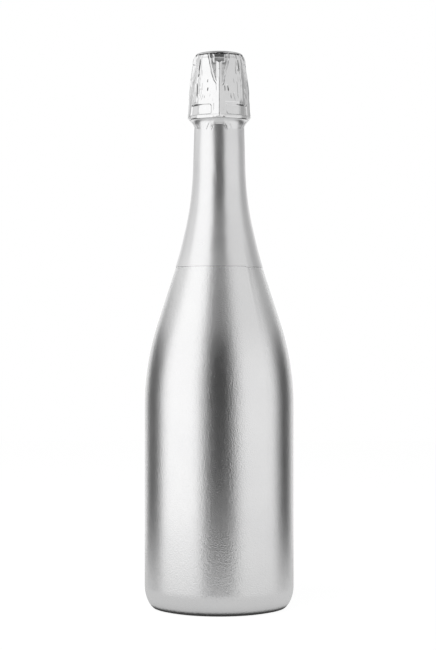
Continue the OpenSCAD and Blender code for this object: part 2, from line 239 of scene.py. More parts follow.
# Metal skins: fine grain, larger dents, a slow change of roughness and painted shade in the grain's hollows
def metalSkin(name, look):
    material, tree = newMaterial(name)
    place = addNode(tree, "ShaderNodeTexCoord").outputs["Object"]
    stretched = addNode(tree, "ShaderNodeMapping", {"Vector": place, "Scale": look["stretch"]}).outputs[0]
    grain = noise(tree, stretched, look["grainScale"], 2.0, 0.55)
    dents = noise(tree, stretched, look["dentScale"], 1.0, 0.4)
    cloud = noise(tree, place, look["cloudScale"], 3.0)
    skin = relief(tree, grain, look["grainDepth"], relief(tree, dents, look["dentDepth"]))
    rough = ramp(tree, cloud, [(0.3, look["roughness"][0]), (0.7, look["roughness"][1])])
    if "haze" in look:
        up = addNode(tree, "ShaderNodeSeparateXYZ", {"Vector": place}).outputs["Z"]
        # The skin turns a little hazier from one height to another
        low, high = [z * mm for z in look["hazeHeights"]]
        haze = addNode(tree, "ShaderNodeMapRange", {"Value": up, 1: low, 2: high, 3: 0.0, 4: look["haze"]})
        rough = calculate(tree, "ADD", rough, haze.outputs[0])
    colour = ramp(tree, cloud, [(0.25, look["dark"]), (0.75, look["light"])])
    # The base colour is darkened in the grain's hollows: painted shade
    paintedHollowShade = ramp(tree, grain, [(0.38, look["hollowPaintedShade"]), (0.6, 1.0)])
    shaded = blend(tree, 1.0, colour, paintedHollowShade, "MULTIPLY")
    shader = bareMetal(tree, shaded, rough, skin)
    if "dullShare" in look:
        # Part of the light comes off a rougher skin, which keeps the grain in sight
        dull = bareMetal(tree, shaded, look["dullRoughness"], skin)
        shader = blendShaders(tree, look["dullShare"], shader, dull)
    finish(tree, shader)
    return material


filmLook = {
    "stretch": (1.0, 1.0, 1.35),
    "grainScale": 1320.0,
    "grainDepth": 0.155,
    "dentScale": 300.0,
    "dentDepth": 0.012,
    "hollowPaintedShade": 0.98,
    "cloudScale": 30.0,
    "roughness": (0.09, 0.12),
    "hazeHeights": (165.0, 196.0),
    "haze": 0.04,
    "dullShare": 0.265,
    "dullRoughness": 0.277,
    "dark": (0.84, 0.84, 0.845),
    "light": (0.89, 0.89, 0.89),
}
neckFoilLook = {
    "stretch": (1.0, 1.0, 0.5),
    "grainScale": 700.0,
    "grainDepth": 0.012,
    "dentScale": 160.0,
    "dentDepth": 0.10,
    "hollowPaintedShade": 0.99,
    "cloudScale": 40.0,
    "roughness": (0.27, 0.33),
    "dark": (0.84, 0.84, 0.845),
    "light": (0.9, 0.9, 0.9),
}
hoodFoilLook = {
    "stretch": (1.0, 1.0, 0.45),
    "grainScale": 900.0,
    "grainDepth": 0.03,
    "dentScale": 330.0,
    "dentDepth": 0.12,
    "hollowPaintedShade": 0.98,
    "cloudScale": 60.0,
    "roughness": (0.08, 0.14),
    "dark": (0.84, 0.84, 0.845),
    "light": (0.9, 0.9, 0.9),
}
tinLook = {
    "stretch": (1.0, 1.0, 1.0),
    "grainScale": 2500.0,
    "grainDepth": 0.004,
    "dentScale": 400.0,
    "dentDepth": 0.01,
    "hollowPaintedShade": 0.95,
    "cloudScale": 120.0,
    "roughness": (0.22, 0.34),
    "dark": (0.66, 0.66, 0.67),
    "light": (0.76, 0.76, 0.76),
}
wireLook = {
    "stretch": (1.0, 1.0, 1.0),
    "grainScale": 4000.0,
    "grainDepth": 0.01,
    "dentScale": 1200.0,
    "dentDepth": 0.01,
    "hollowPaintedShade": 0.90,
    "cloudScale": 400.0,
    "roughness": (0.3, 0.48),
    "dark": (0.45, 0.45, 0.46),
    "light": (0.62, 0.62, 0.63),
}
filmSilver = metalSkin("filmSilver", filmLook)
neckFoilSilver = metalSkin("neckFoilSilver", neckFoilLook)
hoodFoilSilver = metalSkin("hoodFoilSilver", hoodFoilLook)
tinplate = metalSkin("tinplate", tinLook)
galvanisedWire = metalSkin("galvanisedWire", wireLook)
print("metal finishes made")

# Film over the body
film = {
    "columns": 720,
    "heelRows": 26,
    "wallRows": 40,
    "upperRows": 70,
    "offset": 0.4,
    "top": 216.0,
    "heelEnd": 68.0,
    "seamTurn": frontTurn + 37.0,
    "seamWidth": 3.2,
    "seamRise": 0.14,
    "puckerCount": 90,
    "puckerTop": 13.0,
    "puckerDepth": 0.22,
}


def filmSleeve():
    turns = columnsOf(film["columns"])[None, :]
    heel = np.radians(np.linspace(film["heelEnd"], 0, film["heelRows"]))
    outward = np.cos(heel) / glass["heelWidth"]
    down = np.sin(heel) / glass["heelHeight"]
    size = np.hypot(outward, down)
    heelRadius = bodyRadius - glass["heelWidth"] * (1 - np.cos(heel)) + film["offset"] * outward / size
    heelZ = glass["heelHeight"] * (1 - np.sin(heel)) - film["offset"] * down / size
    wall = np.linspace(glass["heelHeight"], glass["bodyHeight"], film["wallRows"])[1:]
    upper = np.linspace(glass["bodyHeight"], film["top"], film["upperRows"])[1:]
    above = np.concatenate([wall, upper])
    heights = np.concatenate([heelZ, above])[:, None]
    radii = np.concatenate([heelRadius, glassRadius(above) + film["offset"]])[:, None]
    # Lengthways overlap, a step on one side and a soft fall on the other
    across = arcLength(between(turns, film["seamTurn"]), radii)
    step = smooth(across, -0.25, 0.1) * (1 - smooth(across, 0.3, film["seamWidth"]))
    radii = radii + film["seamRise"] * step * (0.35 + 0.65 * smooth(heights, 150, 195))
    # Puckers where the film is drawn in over the heel
    low = 1 - smooth(heights, 2.0, film["puckerTop"])
    strength = smooth(wander(turns, 0, 12, 50, 8), -0.1, 0.5)
    folds = np.abs(wander(turns + 6 * low, heights, film["puckerCount"], 7.0, 5)) * strength
    radii = radii - film["puckerDepth"] * low * folds
    piece = roundSheet("filmSleeve", turns, radii, heights)
    piece.data.materials.append(filmSilver)
    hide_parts("body_sleeve")
    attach(piece, "bottle")


filmSleeve()
print("film sleeve made")

# Foil from the neck up over the wire: one surface, cut into neck foil, tear strip and hood
foil = {
    "columns": 720,
    "low": 201.0,
    "overFilm": 0.65,
    "overGlass": 0.35,
    "overSeam": 0.12,
    "lapEnd": 238.0,
    "flareLow": 276.0,
    "neckTop": 287.47,
    "stripLow": 287.6,
    "stripTop": 289.53,
    "hoodLow": 289.62,
    "edgeStep": 0.5,
    "waviness": 0.07,
    "softFolds": 9,
    "thickness": 0.12,
}
# Outer radius over a leg of the cage and between two legs, as height and radius
legLine = [
    (287.47, 17.5), (288.0, 18.0), (288.6, 18.35), (289.2, 18.55), (289.8, 18.6),
    (291.6, 18.35), (294.5, 18.1), (297.5, 17.95), (302.0, 17.75), (307.0, 17.45), (309.3, 17.2),
    (313.0, 16.7), (316.4, 16.25), (319.0, 15.85), (321.0, 15.65), (322.7, 15.5), (324.1, 15.05),
    (325.0, 14.6), (325.7, 14.15), (326.3, 13.5)]
openLine = [
    (287.47, 17.3), (287.8, 17.6), (288.2, 17.7), (289.2, 17.72), (289.8, 17.65),
    (291.6, 17.3), (294.5, 17.0), (297.5, 16.8), (302.0, 16.4), (307.0, 16.15), (309.3, 16.0),
    (313.0, 15.5), (316.4, 15.05), (319.0, 14.85), (321.0, 14.75), (322.7, 14.6), (324.1, 14.05),
    (325.0, 13.8), (325.7, 13.45), (326.3, 12.95)]
legs = {
    "tentWidth": 21.0,
    "tentFoot": [(290.0, 14.0), (297.0, 16.0), (300.0, 21.0)],
    "ridgeHeight": 0.3,
    "ridgeFlat": 0.35,
    "ridgeEnd": 1.4,
}
# Height at which the neck foil starts to flare, after the angle from the nearest leg
flareStart = [(0, 283.9), (8, 283.6), (13, 282.9), (21, 281.8), (45, 281.4)]
# Creases at the foot of each leg, on one side: angle and height of both ends, width, depth
footCreases = [
    ((11, 285.0), (20, 280.4), 0.2, 0.11),
    ((22, 285.4), (33, 280.4), 0.18, 0.13),
    ((30, 285.6), (40, 282.0), 0.2, 0.05),
]


def fromLeg(turn):
    return (turn + 45) % 90 - 45


# How far the foil is lifted towards the nearest leg, from 0 to 1, like a tent over its pole
def tent(turn, height):
    side = np.abs(fromLeg(turn))
    width = np.interp(height, *zip(*legs["tentFoot"]))
    t = np.clip(side / width, 0, 1)
    return (1 - t) ** 2 * (1 + 0.45 * t)


# The narrow ridge on the tent's top, from 0 to 1
def ridge(turn, radius):
    across = arcLength(np.abs(fromLeg(turn)), radius)
    return 1 - smooth(across, legs["ridgeFlat"], legs["ridgeEnd"])


# One crease as a change of radius, from (turn, height) to (turn, height) in degrees and mm
def crease(turn, height, start, end, width, depth, radius=16.0):
    scale = math.pi / 180 * radius
    ax = between(turn, start[0]) * scale
    az = height - start[1]
    bx = (end[0] - start[0]) * scale
    bz = end[1] - start[1]
    length = math.hypot(bx, bz)
    t = (ax * bx + az * bz) / length ** 2
    side = (ax * bz - az * bx) / length
    ends = smooth(t, -0.05, 0.25) * (1 - smooth(t, 0.7, 1.05))
    valley = np.exp(-(side / width) ** 2)
    crest = np.exp(-((side - 1.7 * width) / width) ** 2)
    return depth * ends * (0.6 * crest - valley)


# The neck foil close to the glass, then out over the wires under the collar
def flareRadius(turns, heights):
    lap = 1 - smooth(heights, film["top"], foil["lapEnd"])
    neck = glassRadius(heights) + foil["overGlass"] + (foil["overFilm"] - foil["overGlass"]) * lap
    start = throughPoints(np.abs(fromLeg(turns)), flareStart)
    t = np.clip((heights - start) / (foil["neckTop"] - start), 0, 1)
    edge = openLine[0][1] + (legLine[0][1] - openLine[0][1]) * tent(turns, foil["neckTop"])
    # Nearly straight over a leg's loop, between the legs it turns out sharply just under the strip
    beside = smooth(np.abs(fromLeg(turns)), 7, 19)
    rise = (0.35 * t * t + 0.65 * t) * (1 - beside) + (0.42 * t + 0.58 * t ** 5) * beside
    return neck + (edge - neck) * rise * smooth(t, -0.1, 0.2)


def neckFoil():
    turns = columnsOf(foil["columns"])[None, :]
    plain = np.linspace(foil["low"], foil["flareLow"], 100)
    flare = np.linspace(foil["flareLow"], foil["neckTop"], 90)[1:]
    levels = np.concatenate([plain, flare])[:, None]
    # The lower edge steps down where the film's seam runs under it
    fromSeam = between(turns, film["seamTurn"])
    drop = smooth(fromSeam, -0.6, 0.6) * (1 - 0.5 * smooth(fromSeam, 8, 14)) * (1 - smooth(fromSeam, 30, 60))
    heights = levels - foil["edgeStep"] * drop * (1 - smooth(levels, foil["low"], foil["low"] + 6))
    radii = flareRadius(turns, heights)
    waves = wander(turns, heights, 12, 24, 3) + 0.4 * wander(turns, heights, 26, 10, 4)
    radii = radii + foil["waviness"] * waves
    # The film's seam lies under it for a little way
    overSeam = smooth(fromSeam, -0.8, 0.3) * (1 - smooth(fromSeam, 0.5, 9))
    radii = radii + foil["overSeam"] * overSeam * (1 - smooth(heights, 206, 222))
    random = np.random.default_rng(17)
    for leg in range(legCount):
        for side in (-1, 1):
            for start, end, width, depth in footCreases:
                shift = random.uniform(-1.5, 1.5)
                high = (90 * leg + side * (start[0] + shift), start[1])
                low = (90 * leg + side * (end[0] + shift), end[1])
                radii = radii + crease(turns, heights, high, low, width, depth)
    # The film's upper edge shows through as a faint line
    radii = radii + crease(turns, heights, (frontTurn - 14, 240.5), (frontTurn + 14, 240.2), 0.4, 0.02, 15)
    # A few long soft folds run down the neck
    for i in range(foil["softFolds"]):
        turn = random.uniform(-180, 180)
        z = random.uniform(262, 281)
        low = (turn + random.normal(0, 5), z - random.uniform(8, 26))
        radii = radii + crease(turns, heights, (turn, z), low, 0.9, random.uniform(0.03, 0.07), 15)
    piece = roundSheet("neckFoil", turns, radii, heights, foil["thickness"])
    piece.data.materials.append(neckFoilSilver)
    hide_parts("neck_foil")
    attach(piece, "bottle")


tab = {
    "turn": 118.0,
    "width": 4.0,
    "length": 6.0,
    "radius": 17.4,
    "thickness": 0.16,
    "line": [(280.0, 17.15), (283.0, 17.05), (foil["stripLow"], 17.75), (289.0, 18.75)],
}


def tearStrip():
    turns = columnsOf(foil["columns"])[None, :]
    heights = np.linspace(foil["stripLow"], foil["stripTop"], 12)[:, None]
    over = throughPoints(heights, legLine)
    radii = throughPoints(heights, openLine)
    radii = radii + (over - radii) * tent(turns, heights)
    radii = radii + 0.045 * wander(turns, heights, 60, 3, 12)
    piece = roundSheet("tearStrip", turns, radii, heights, foil["thickness"])
    piece.data.materials.append(hoodFoilSilver)
    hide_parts("tear_strip")
    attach(piece, "bottle")


# The strip's loose end hangs down at the back
def tearTab():
    columns = np.linspace(-0.5, 0.5, 17)[None, :]
    t = np.linspace(0, 1, 24)[:, None]
    z = foil["stripLow"] + 0.9 - tab["length"] * t * (1 - 0.12 * (2 * columns) ** 4 * t)
    radius = np.interp(z, *zip(*tab["line"]))
    radius = radius + 0.25 * np.sin(3 * t) + 0.06 * np.sin(9 * t + 4 * columns)
    turn = np.radians(tab["turn"]) + columns * tab["width"] / tab["radius"]
    points = np.stack([radius * np.cos(turn), radius * np.sin(turn), z], -1).reshape(-1, 3) * mm
    here = np.arange(t.size * columns.size).reshape(t.size, columns.size)
    faces = np.stack([here[:-1, :-1], here[:-1, 1:], here[1:, 1:], here[1:, :-1]], -1).reshape(-1, 4)
    mesh = bpy.data.meshes.new("tearTab")
    mesh.from_pydata(points.tolist(), [], faces.tolist())
    mesh.shade_smooth()
    loose = placed("tearTab", mesh)
    skin = loose.modifiers.new("thickness", "SOLIDIFY")
    skin.thickness = tab["thickness"] * mm
    loose.data.materials.append(hoodFoilSilver)
    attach(loose, "bottle")


neckFoil()
tearStrip()
tearTab()
print("neck foil and tear strip made")

hood = {
    "columns": 600,
    "rows": 190,
    "footOverLeg": 18.58,
    "footApart": 17.65,
    "pleatCount": 58,
    "pleatDepth": 0.17,
    "creaseCount": 210,
    "creaseDepth": 0.17,
    "crumple": 0.035,
    "eyeTop": 301.8,
    "eyeRadius": 18.45,
    "bundle": 0.65,
    "clearance": 0.2,
}
# Outermost radius of a leg's wires and of the cap, as height and radius
wireLine = [
    (289.0, 18.2), (290.0, 18.13), (293.0, 18.0), (297.5, 17.63), (302.0, 17.25), (308.0, 16.82),
    (311.0, 16.62), (314.0, 16.12), (317.0, 15.56), (320.0, 15.12), (323.0, 14.62), (325.2, 13.9),
    (325.7, 13.78), (326.0, 13.55), (326.3, 13.2)]
capLine = [(322.0, 13.1), (323.0, 13.2), (325.2, 13.2), (325.6, 12.98), (325.9, 12.7), (326.1, 11.0)]
# Windows pressed in between the legs: they start this many degrees from a leg
windows = {
    "low": 289.2,
    "top": 296.0,
    "start": 14.5,
    "frontRight": 11.0,
    "slant": 0.45,
    "corner": 1.8,
    "radius": 17.0,
    "lipHeight": 296.7,
    "lipWidth": 0.42,
    "lipDepth": 0.16,
    "lipRight": 0.22,
    "floor": [(289.6, 16.75), (292.0, 16.45), (296.0, 16.1)],
}
# Folds that the front shows: angle from the front leg and height of both ends, width, depth
frontFolds = [
    ((-47, 324), (-52, 309), 0.5, 0.55),
    ((-53, 311), (-50, 297), 0.5, 0.55),
    ((-38, 309), (-43, 298), 0.4, 0.16),
    ((48, 324), (53, 309), 0.5, 0.6),
    ((53, 311), (52, 297), 0.5, 0.55),
    ((41, 310), (44, 299), 0.4, 0.18),
    ((-22, 310.6), (-23.5, 308), 0.42, 0.16),
    ((-22.5, 305.6), (-24, 302.8), 0.4, 0.13),
    ((15.5, 307.5), (18, 302.5), 0.6, 0.2),
    ((33, 311.5), (35, 307.5), 0.5, 0.16),
    ((33, 303), (35, 297.6), 0.5, 0.25),
    ((24, 303), (24, 298), 0.4, 0.12),
    ((-33, 303), (-30, 298.2), 0.4, 0.12),
    ((-37, 302), (-40, 298.0), 0.4, 0.15),
]
# Foil pressed flat beside the legs under the top: height, and how far it reaches on either side in mm
wedges = {
    "left": [(306.0, 0.0), (309.8, 2.6), (324.5, 5.9), (327.0, 6.2)],
    "right": [(304.5, 0.0), (307.6, 1.9), (323.2, 5.2), (327.0, 5.6)],
    "edge": 0.35,
    "valleyWidth": 0.38,
    "valleyDepth": 0.34,
    "rise": 0.12,
    "radius": 15.2,
    "waviness": 0.22,
    "patch": 3.3,
    "patchLow": 319.8,
    "patchTop": 325.6,
}


# Depth of a pressed window between two legs, from 0 to 1
def window(turn, height):
    side = 45 - np.abs(fromLeg(turn))
    # The one to the right of the front ridge reaches closer to it and has a slanting end
    frontEnd = (between(turn, frontTurn) > 0) & (between(turn, frontTurn) < 45)
    slanting = windows["frontRight"] + windows["slant"] * (windows["top"] - height)
    start = np.where(frontEnd, slanting, windows["start"])
    across = arcLength(side, windows["radius"])
    halfWidth = arcLength(45 - start, windows["radius"])
    halfHeight = (windows["top"] - windows["low"]) / 2
    middle = (windows["top"] + windows["low"]) / 2
    u = across - halfWidth + windows["corner"]
    v = np.abs(height - middle) - halfHeight + windows["corner"]
    rounded = np.hypot(np.maximum(u, 0), np.maximum(v, 0)) - windows["corner"]
    outside = rounded + np.minimum(np.maximum(u, v), 0)
    soft = np.where(u > v, np.where(frontEnd, 1.6, 1.1), 0.9)
    return 1 - smooth(outside, -soft, 0.35)


# Narrow fold over a window, deeper on the right of the front
def windowLip(turn, height):
    fromFront = between(turn, frontTurn)
    right = smooth(fromFront, 5, 9) * (1 - smooth(fromFront, 80, 95))
    ends = smooth(45 - np.abs(45 - np.abs(fromLeg(turn))), 10, 15)
    line = np.exp(-((height - windows["lipHeight"]) / windows["lipWidth"]) ** 2)
    return (windows["lipDepth"] + (windows["lipRight"] - windows["lipDepth"]) * right) * ends * line


# Heights of the hood's rows, and its radius over a leg and between two legs
def hoodLines(turns):
    stops = [(foil["hoodLow"], hood["footOverLeg"], hood["footApart"])]
    for over, apart in zip(legLine, openLine):
        if over[0] > foil["hoodLow"]:
            stops.append((over[0], over[1], apart[1]))
    stops = np.array(stops)
    travel = np.concatenate([[0], np.cumsum(np.hypot(np.diff(stops[:, 0]), np.diff(stops[:, 2])))])
    path = np.linspace(0, travel[-1], hood["rows"])[:, None]
    return [throughPoints(path, np.stack([travel, stops[:, k]], -1)) + 0 * turns for k in range(3)]


# Beside each leg the foil lies flat from the ridge out to a fold, with a valley beyond it, and over
# the ridge's end it stands off in a nearly flat patch. Gives the new radii and the patch's share
def flattenBesideLegs(turns, heights, radii, over, apart):
    bent = fromLeg(turns)
    across = arcLength(bent, radii)
    side = np.abs(across)
    left = np.interp(heights, *zip(*wedges["left"]))
    right = np.interp(heights, *zip(*wedges["right"]))
    reach = np.where(across < 0, left, right)
    wave = wedges["waviness"] * wander(np.sign(across) * 40, heights, 9, 2.2, 33)
    reach = reach + wave * smooth(reach, 0.8, 2.0)
    present = smooth(reach, 0.8, 2.0)
    foldTurn = np.degrees(reach / wedges["radius"])
    t = foldTurn / legs["tentWidth"]
    share = (1 - np.clip(t, 0, 1)) ** 2 * (1 + 0.45 * t)
    atFold = apart + (over - legs["ridgeHeight"] - apart) * share
    flat = (atFold + wedges["rise"]) * np.cos(np.radians(foldTurn)) / np.cos(np.radians(bent))
    inWedge = (1 - smooth(side, reach - wedges["edge"], reach + wedges["edge"])) * present
    radii = radii + (flat - radii) * inWedge * smooth(side, 0.95, 1.75)
    patch = 1 - smooth(side, wedges["patch"] - 0.5, wedges["patch"] + 0.25)
    patch = patch * smooth(heights, wedges["patchLow"], wedges["patchLow"] + 1.2)
    standing = (over - 0.1) / np.sqrt(np.cos(np.radians(np.clip(bent, -30, 30))))
    ending = 1 - smooth(heights, wedges["patchTop"] - 0.7, wedges["patchTop"])
    radii = radii + (standing - radii) * patch * ending
    beyond = side - reach - wedges["edge"] - 0.1
    valley = np.exp(-(beyond / wedges["valleyWidth"]) ** 2) * present * (1 - smooth(heights, 325, 326))
    return radii - wedges["valleyDepth"] * valley, patch


# Creases all over, fewer and softer on the two front panels, changed in the radii in place
def creaseHood(turns, heights, radii, free, top):
    random = np.random.default_rng(43)
    bentTurns = turns + 1.3 * wander(turns, heights, 24, 3.2, 61)
    for i in range(hood["creaseCount"]):
        turn = random.uniform(-180, 180)
        z = 297 + 28 * random.uniform(0, 1)
        length = random.uniform(2.5, 10)
        slant = random.normal(0, 7)
        width = random.uniform(0.3, 0.8)
        depth = hood["creaseDepth"] * random.uniform(0.3, 1.2)
        front = abs(between(turn, frontTurn))
        depth = depth * (0.22 if front < 43 else 1.35)
        near = np.abs(between(turns[0], turn)) < 30
        fold = crease(bentTurns[:, near], heights[:, near], (turn, z + length / 2),
                      (turn + slant, z - length / 2), width, depth)
        radii[:, near] += free[:, near] * fold
    for start, end, width, depth in frontFolds:
        high = (frontTurn + start[0], start[1])
        low = (frontTurn + end[0], end[1])
        radii += free * (1 - 0.85 * top) * crease(bentTurns, heights, high, low, width, depth)
    crumple = wander(turns, heights, 90, 5, 31) + 0.5 * wander(turns, heights, 220, 2.4, 32)
    radii += hood["crumple"] * free * crumple


# The foil lies on the wires and on the cap's edge and never cuts into them
def keepClear(turns, heights, radii):
    bundle = np.interp(heights, *zip(*wireLine)) - hood["bundle"]
    room = (hood["bundle"] + hood["clearance"]) ** 2 - arcLength(fromLeg(turns), bundle) ** 2
    radii = np.maximum(radii, np.where(room > 0, bundle + np.sqrt(np.maximum(room, 0)), 0))
    return np.maximum(radii, np.interp(heights, *zip(*capLine)) + hood["clearance"])


def foilHood():
    turns = columnsOf(hood["columns"])[None, :]
    heights, over, apart = hoodLines(turns)
    # Pressed in between the legs, but over the belt's twisted eye at the back
    fromEye = np.abs(between(turns, eyeTurn))
    eye = (1 - smooth(fromEye, 10, 17)) * (1 - smooth(heights, hood["eyeTop"], hood["eyeTop"] + 6))
    pressed = window(turns, heights) * (1 - eye) * smooth(heights, foil["hoodLow"], foil["hoodLow"] + 0.45)
    below = 1 - smooth(heights, 319.6, 321.2)
    top = ridge(turns, windows["radius"]) * smooth(heights, 289, 291) * below
    radii = apart + (over - legs["ridgeHeight"] - apart) * tent(turns, heights)
    radii = radii + legs["ridgeHeight"] * below * top
    radii = radii + (throughPoints(heights, windows["floor"]) - radii) * pressed
    radii = radii - windowLip(turns, heights) * (1 - eye)
    radii, patch = flattenBesideLegs(turns, heights, radii, over, apart)
    radii = np.maximum(radii, radii + (hood["eyeRadius"] - radii) * eye)
    # Pleats gathered at the top edge
    gather = smooth(heights, 317, 324.0) * (1 - smooth(heights, 326.0, 326.7)) * (1 - 0.9 * patch)
    pleats = np.abs(wander(turns + 0.5 * (326 - heights), heights, hood["pleatCount"] * 2, 12, 21))
    radii = radii - hood["pleatDepth"] * gather * (pleats - 0.35)
    free = (1 - pressed) * smooth(heights, foil["hoodLow"], foil["hoodLow"] + 3)
    creaseHood(turns, heights, radii, free * (1 - smooth(heights, 324.6, 326.0)), top)
    radii = keepClear(turns, heights, radii)
    piece = roundSheet("foilHood", turns, radii, heights, foil["thickness"])
    piece.data.materials.append(hoodFoilSilver)
    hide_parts("foil_hood")
    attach(piece, "hood")


topDisc = {
    "line": [(0, 328.3), (4, 328.2), (6.2, 328.0), (9, 327.65), (11, 327.32), (12, 327.1), (12.8, 326.85),
             (13.4, 326.55), (13.8, 326.2), (13.98, 325.8)],
    "thickness": 0.12,
    "wobble": 0.04,
}


def foilTopDisc():
    turns = columnsOf(300)[None, :]
    edge = topDisc["line"][-1][0]
    outer = np.concatenate([np.linspace(edge, 12.0, 14), np.linspace(11.8, 0.02, 40)])
    inner = np.linspace(12.0, edge - 0.05, 8)
    radii = np.concatenate([outer, inner])[:, None]
    heights = throughPoints(radii, topDisc["line"])
    heights[len(outer):] -= topDisc["thickness"]
    heights = heights + topDisc["wobble"] * wander(turns, radii * 2, 20, 6, 51) * smooth(radii, 1, 5)
    radii = radii + 0.06 * wander(turns, 0, 46, 50, 52) * smooth(radii, 12.6, 13.6)
    piece = roundSheet("foilTopDisc", turns, radii, heights)
    piece.data.materials.append(hoodFoilSilver)
    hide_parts("foil_top_disc")
    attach(piece, "hood")


foilHood()
foilTopDisc()
print("hood made")

# Cap, wires, cork and glass: out of sight until the hood is lifted
mouth = {
    "collarDiameter": 33.0,
    "collarLength": 2.8,
    "collarRound": 1.2,
    "lip": collarHeight + 15.5,
    "headHeight": 21.3,
    "headDiameter": 30.4,
    "headTopDiameter": 26.8,
    "corkInside": 24.0,
    "discThickness": 5.0,
    "boreDiameter": 18.0,
}
cap = {
    "diameter": 26.4,
    "thickness": 0.3,
    "rim": 2.4,
    "round": 0.8,
    "rise": 0.9,
    "groove": 11.1,
}
corkTop = mouth["lip"] + mouth["headHeight"]
capTop = corkTop + cap["thickness"]
capLow = capTop - cap["rim"]
capRadius = cap["diameter"] / 2
shankRadius = mouth["boreDiameter"] / 2 - 0.05


def metalCap():
    turns = columnsOf(240)[None, :]
    outer = [(capRadius - 0.02, capLow), (capRadius, capLow + 0.1)]
    for a in np.radians(np.linspace(0, 90, 9)):
        inward, down = cap["round"] * (1 - math.cos(a)), cap["round"] * (1 - math.sin(a))
        outer.append((capRadius - inward, capTop - down))
    rimPoints = len(outer)
    for t in np.linspace(0, 1, 12):
        raised = cap["rise"] * float(smooth(t, 0, 1)) * 0.85
        outer.append((cap["groove"] + 0.25 - 1.7 * t, capTop + raised))
    # A pressed ring, then the nearly flat middle
    outer += [(9.0, capTop + 0.83), (8.6, capTop + 0.72), (8.2, capTop + 0.83), (7.6, capTop + 0.86)]
    outer += [(4.0, capTop + cap["rise"]), (0.02, capTop + cap["rise"])]
    line = np.array(outer)
    inner = line[::-1] - [[0, cap["thickness"]]]
    inner[-rimPoints:, 0] -= cap["thickness"] - 0.02
    inner[-rimPoints:, 1] = np.minimum(inner[-rimPoints:, 1], line[rimPoints - 1::-1, 1] - 0.05)
    inner[-1, 1] = capLow
    both = np.concatenate([line, inner])
    piece = roundSheet("metalCap", turns, both[:, :1], both[:, 1:])
    piece.data.materials.append(tinplate)
    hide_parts("plaque")
    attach(piece, "cage")


cage = {
    "wire": 0.62,
    "belt": 0.9,
    "strandGap": 0.53,
    "ringDiameter": 24.0,
    "turns": 6.25,
    "gap": 0.1,
    "ringsPerTurn": 20,
    "eyeRadius": 2.1,
}
wireRadius = cage["wire"] / 2
beltRadius = cage["belt"] / 2
legOffset = cage["wire"] + cage["strandGap"] / 2 + cage["gap"]
strandSpread = (cage["wire"] + 0.06) / 2
wireHeight = capTop + cage["gap"] + wireRadius
collarRadius = mouth["collarDiameter"] / 2
collarTop = collarHeight + mouth["collarLength"]
loopRadius = beltRadius + 0.07 + wireRadius
beltHeight = collarHeight - cage["gap"] - wireRadius - loopRadius
beltRingRadius = neckRadius + 2 * cage["gap"] + wireRadius + loopRadius
cornerRadius = collarRadius - mouth["collarRound"]
cornerHeight = collarHeight + mouth["collarRound"]
headRadius = mouth["headDiameter"] / 2
headTopRadius = mouth["headTopDiameter"] / 2
bulge = mouth["lip"] + mouth["headHeight"] * 0.2
taper = mouth["lip"] + mouth["headHeight"] * 0.78
# The cork's head from its bulge up, as radius and height
headLine = [(headRadius, bulge), (headRadius - 0.15, bulge + 2.5), (headTopRadius + 0.35, taper - 3),
            (headTopRadius, taper)]
twistTop = capLow + 0.2
# Middle of a leg's twist, as height and radius
legWireLine = [(cornerHeight, collarRadius + legOffset), (collarTop, collarRadius + legOffset)]
legWireLine += [(z, r + legOffset) for r, z in headLine]
legWireLine += [(capLow - 1, capRadius + legOffset), (twistTop + 0.6, capRadius + cage["gap"] + wireRadius)]


def onCircle(centre, radius, angle):
    a = math.radians(angle)
    return centre[0] + radius * math.cos(a), centre[1] + radius * math.sin(a)


def arcPoints(centre, radius, start, end, count):
    return [onCircle(centre, radius, a) for a in np.linspace(start, end, count)]


# One strand of a leg from the top ring down to the end of its twist: outward, sideways, height
def strand(side):
    points = [(cage["ringDiameter"] / 2 + 0.1, side * 1.0, wireHeight)]
    edge = (capRadius - cap["round"], capTop - cap["round"])
    for a in (78, 60, 42, 24, 8):
        x, z = onCircle(edge, cap["round"] + cage["gap"] + wireRadius, a)
        points.append((x, side * (strandSpread + 0.45 * a / 78), z))
    steps = int(cage["ringsPerTurn"] * cage["turns"])
    for i in range(steps + 1):
        z = twistTop + (cornerHeight - twistTop) * i / steps
        a = 2 * math.pi * cage["turns"] * i / steps
        middle = float(np.interp(z, *np.array(legWireLine).T))
        points.append((middle - side * strandSpread * math.sin(a), side * strandSpread * math.cos(a), z))
    return points


# A leg's loop under the collar and round the belt
def legLoop():
    corner = (cornerRadius, cornerHeight)
    inner = mouth["collarRound"] + cage["gap"] + wireRadius
    outline = (arcPoints(corner, legOffset + mouth["collarRound"] + strandSpread, -16, -42, 3)
               + arcPoints((beltRingRadius, beltHeight), loopRadius, -45, -262, 20)
               + arcPoints(corner, inner, -70, -20, 4))
    return [(x, 0.0, z) for x, z in outline]


def turned(points, turn):
    c, s = math.cos(math.radians(turn)), math.sin(math.radians(turn))
    return [(x * c - y * s, x * s + y * c, z) for x, y, z in points]


def wireCurve(name, points, radius):
    data = bpy.data.curves.new(name, "CURVE")
    data.dimensions = "3D"
    data.bevel_depth = radius * mm
    data.bevel_resolution = 2
    spline = data.splines.new("POLY")
    spline.points.add(len(points) - 1)
    for point, place in zip(spline.points, points):
        point.co = (place[0] * mm, place[1] * mm, place[2] * mm, 1)
    spline.use_cyclic_u = True
    spline.use_smooth = True
    data.materials.append(galvanisedWire)
    return placed(name, data)


def cageWire():
    points = []
    ring = arcPoints((0.0, 0.0), cage["ringDiameter"] / 2, 7, 83, 20)
    quarter = [(x, y, wireHeight) for x, y in ring]
    for leg in range(legCount):
        points += turned(strand(-1) + legLoop() + strand(1)[::-1] + quarter, 90 * leg)
    piece = wireCurve("cageWire", points, wireRadius)
    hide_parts("cage_wire")
    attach(piece, "cage")


